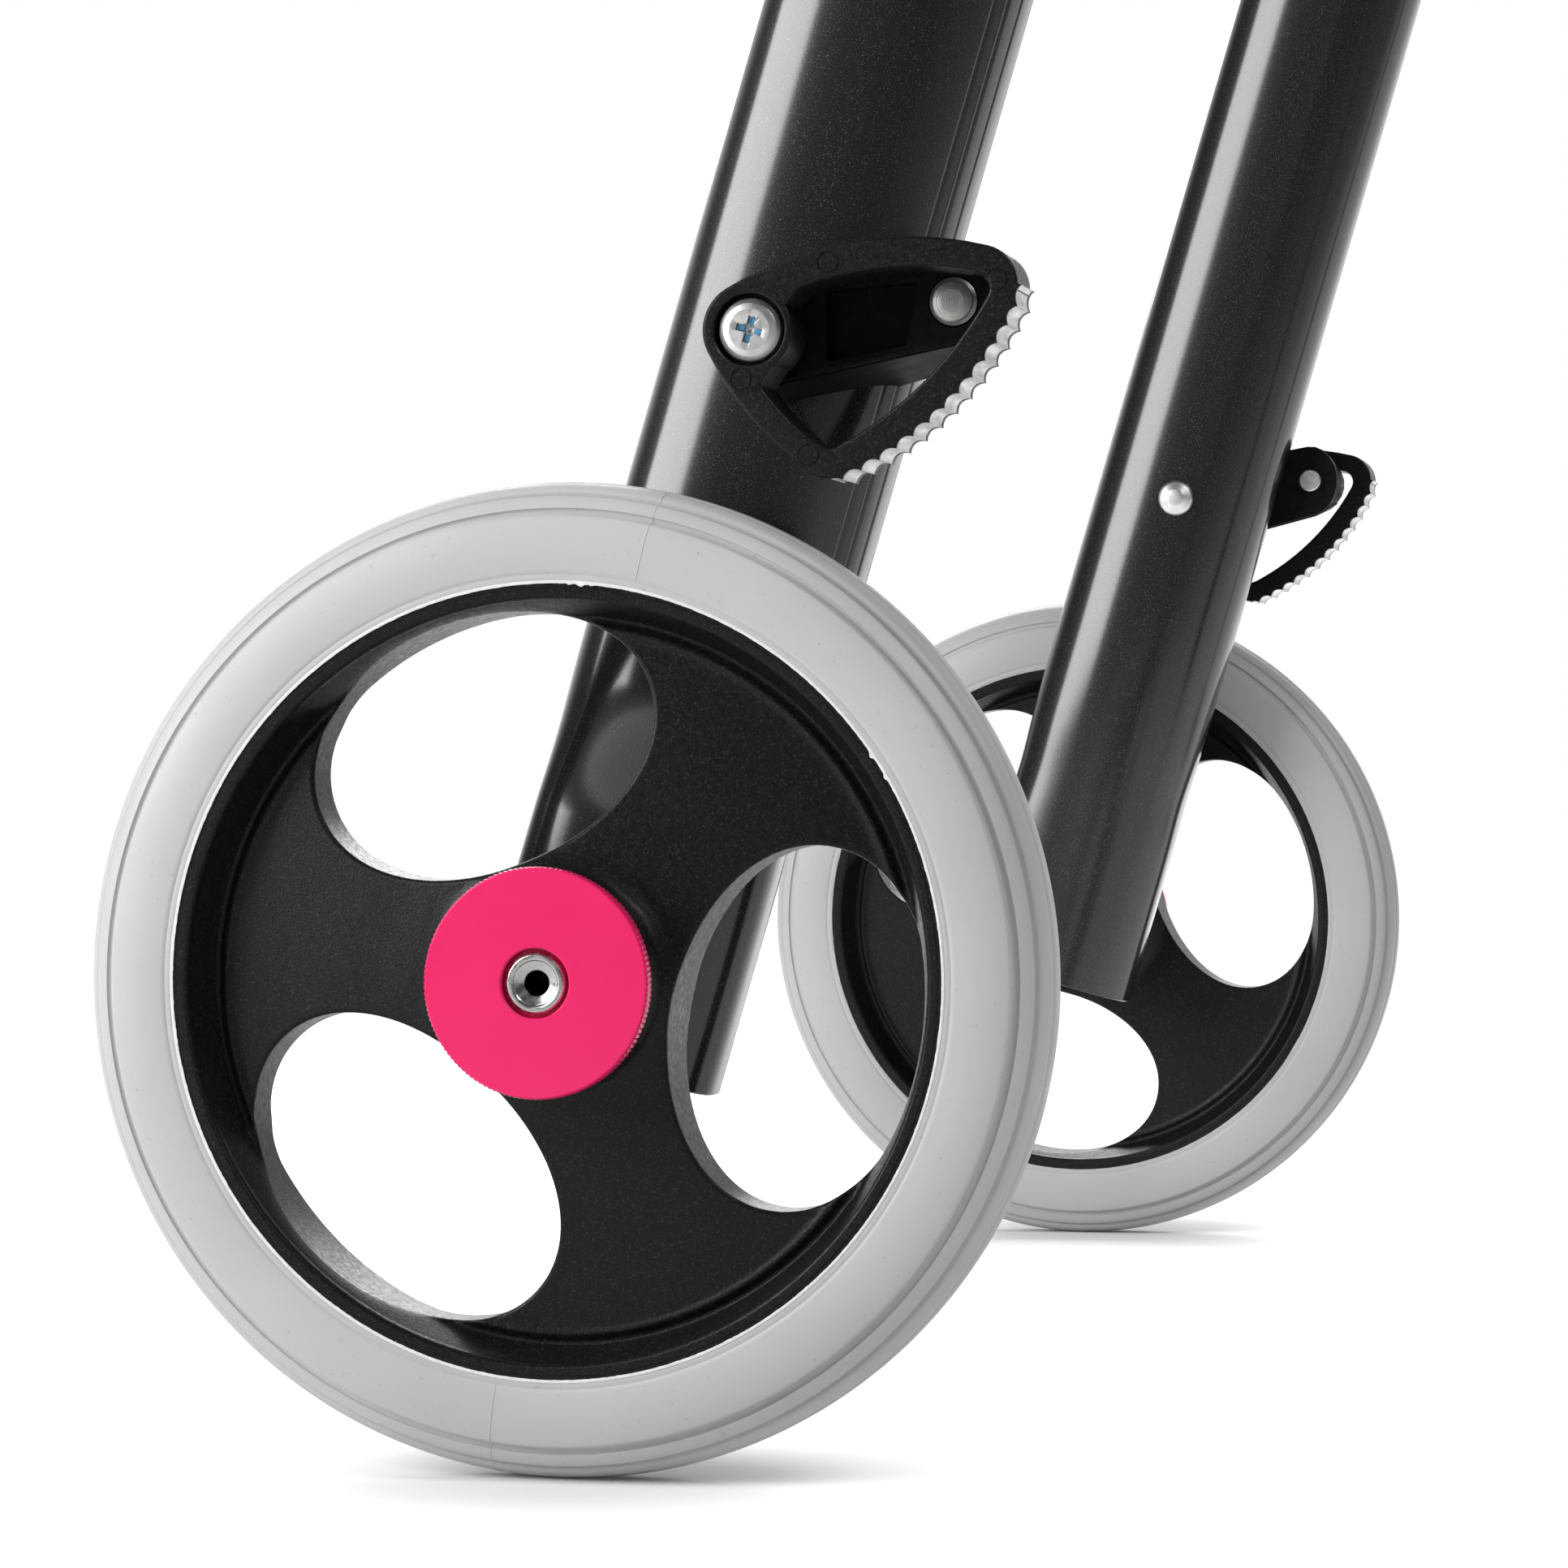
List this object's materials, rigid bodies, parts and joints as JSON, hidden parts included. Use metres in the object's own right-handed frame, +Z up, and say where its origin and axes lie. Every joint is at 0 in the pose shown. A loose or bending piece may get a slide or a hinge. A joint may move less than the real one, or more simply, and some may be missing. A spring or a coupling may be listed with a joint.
{
  "type": "gait trainer",
  "caption": "Four-wheeled walking frame towed behind its user, with braked rear wheels, swivelling castors, height-adjustable handles and a padded hip support.",
  "frame": {"origin": "on the floor, at the middle of the bounding box", "axes": "+X forward, the way the user walks; +Y to the user's left; +Z up"},
  "size_m": [0.6486, 0.6712, 0.7484],
  "materials": {
    "grey_rubber": "smooth light grey polyurethane",
    "black_nylon": "fine-grained black moulding",
    "leg_paint": "dark grey-green anodised tube",
    "bright_steel": "zinc-plated fasteners",
    "bearing_steel": "shielded ball bearing",
    "cast_aluminium": "bare cut aluminium",
    "pink_anodised": "bright pink anodised, knurled edge",
    "grip_foam": "soft black grip",
    "pad_fabric": "dark woven cover over foam"
  },
  "bodies": {
    "frame": {"crossbar": "leg_paint", "hip_pad": "pad_fabric", "hip_plate": "black_nylon", "right_rear_leg": "leg_paint", "right_axle_insert": "cast_aluminium", "right_axle_bolt": "bright_steel", "right_axle_spacer": "cast_aluminium", "right_friction_washer": "bright_steel", "right_brake_pivot_screw": "bright_steel", "right_brake_pivot_nut": "bright_steel", "right_brake_bracket": "black_nylon", "right_brake_pin_spring": "bright_steel", "right_front_leg": "leg_paint", "right_top_joint": "black_nylon", "right_castor_housing": "black_nylon", "right_hip_clamp": "black_nylon", "left_rear_leg": "leg_paint", "left_axle_insert": "cast_aluminium", "left_axle_bolt": "bright_steel", "left_axle_spacer": "cast_aluminium", "left_friction_washer": "bright_steel", "left_brake_pivot_screw": "bright_steel", "left_brake_pivot_nut": "bright_steel", "left_brake_bracket": "black_nylon", "left_brake_pin_spring": "bright_steel", "left_front_leg": "leg_paint", "left_top_joint": "black_nylon", "left_castor_housing": "black_nylon", "left_hip_clamp": "black_nylon"},
    "right_rear_wheel_set": {"right_rear_tyre": "grey_rubber", "right_rear_wheel": "black_nylon", "right_outer_bearing": "bearing_steel", "right_inner_bearing": "bearing_steel"},
    "right_knob": {"right_friction_knob": "pink_anodised"},
    "right_brake_pedal": {"right_brake_loop": "black_nylon", "right_brake_shoe": "cast_aluminium"},
    "right_lock_pin": {"right_brake_pin": "bright_steel"},
    "right_handle": {"right_handle_post": "leg_paint", "right_handle_grip": "grip_foam"},
    "right_hand_screw": {"right_height_screw": "black_nylon"},
    "right_castor_swivel": {"right_castor_fork": "black_nylon", "right_castor_axle": "bright_steel"},
    "right_castor_roller": {"right_castor_wheel": "black_nylon", "right_castor_tyre": "grey_rubber"},
    "left_rear_wheel_set": {"left_rear_tyre": "grey_rubber", "left_rear_wheel": "black_nylon", "left_outer_bearing": "bearing_steel", "left_inner_bearing": "bearing_steel"},
    "left_knob": {"left_friction_knob": "pink_anodised"},
    "left_brake_pedal": {"left_brake_loop": "black_nylon", "left_brake_shoe": "cast_aluminium"},
    "left_lock_pin": {"left_brake_pin": "bright_steel"},
    "left_handle": {"left_handle_post": "leg_paint", "left_handle_grip": "grip_foam"},
    "left_hand_screw": {"left_height_screw": "black_nylon"},
    "left_castor_swivel": {"left_castor_fork": "black_nylon", "left_castor_axle": "bright_steel"},
    "left_castor_roller": {"left_castor_wheel": "black_nylon", "left_castor_tyre": "grey_rubber"}
  },
  "joints": [
    {"name": "right_rear_wheel_spin", "type": "hinge", "parent": "frame", "child": "right_rear_wheel_set", "pos_m": [-0.22425, -0.31, 0.1], "axis": [0, 1, 0], "continuous": true},
    {"name": "right_knob_turn", "type": "hinge", "parent": "frame", "child": "right_knob", "pos_m": [-0.22425, -0.31, 0.1], "axis": [0, -1, 0], "range_deg": [0, 180]},
    {"name": "right_brake_swing", "type": "hinge", "parent": "frame", "child": "right_brake_pedal", "pos_m": [-0.18608, -0.31, 0.2297], "axis": [0, 1, 0], "range_deg": [0, 35]},
    {"name": "right_lock_pin_push", "type": "slide", "parent": "frame", "child": "right_lock_pin", "axis": [0, 1, 0], "range_m": [0, 0.0025], "stiffness_N_per_m": 500, "springref_m": -0.004},
    {"name": "right_handle_height", "type": "slide", "parent": "frame", "child": "right_handle", "axis": [0.2823, 0, 0.9593], "range_m": [-0.09, 0.1]},
    {"name": "right_hand_screw_turn", "type": "hinge", "parent": "frame", "child": "right_hand_screw", "pos_m": [-0.08703, -0.2693, 0.56623], "axis": [0, -1, 0], "range_deg": [0, 180]},
    {"name": "right_castor_turn", "type": "hinge", "parent": "frame", "child": "right_castor_swivel", "pos_m": [0.29575, -0.2693, 0.15], "axis": [0, 0, 1], "continuous": true},
    {"name": "right_castor_spin", "type": "hinge", "parent": "right_castor_swivel", "child": "right_castor_roller", "pos_m": [0.26175, -0.2693, 0.0625], "axis": [0, 1, 0], "continuous": true},
    {"name": "left_rear_wheel_spin", "type": "hinge", "parent": "frame", "child": "left_rear_wheel_set", "pos_m": [-0.22425, 0.31, 0.1], "axis": [0, 1, 0], "continuous": true},
    {"name": "left_knob_turn", "type": "hinge", "parent": "frame", "child": "left_knob", "pos_m": [-0.22425, 0.31, 0.1], "axis": [0, 1, 0], "range_deg": [0, 180]},
    {"name": "left_brake_swing", "type": "hinge", "parent": "frame", "child": "left_brake_pedal", "pos_m": [-0.18608, 0.31, 0.2297], "axis": [0, 1, 0], "range_deg": [0, 35]},
    {"name": "left_lock_pin_push", "type": "slide", "parent": "frame", "child": "left_lock_pin", "axis": [0, -1, 0], "range_m": [0, 0.0025], "stiffness_N_per_m": 500, "springref_m": -0.004},
    {"name": "left_handle_height", "type": "slide", "parent": "frame", "child": "left_handle", "axis": [0.2823, 0, 0.9593], "range_m": [-0.09, 0.1]},
    {"name": "left_hand_screw_turn", "type": "hinge", "parent": "frame", "child": "left_hand_screw", "pos_m": [-0.08703, 0.2693, 0.56623], "axis": [0, 1, 0], "range_deg": [0, 180]},
    {"name": "left_castor_turn", "type": "hinge", "parent": "frame", "child": "left_castor_swivel", "pos_m": [0.29575, 0.2693, 0.15], "axis": [0, 0, 1], "continuous": true},
    {"name": "left_castor_spin", "type": "hinge", "parent": "left_castor_swivel", "child": "left_castor_roller", "pos_m": [0.26175, 0.2693, 0.0625], "axis": [0, 1, 0], "continuous": true}
  ]
}
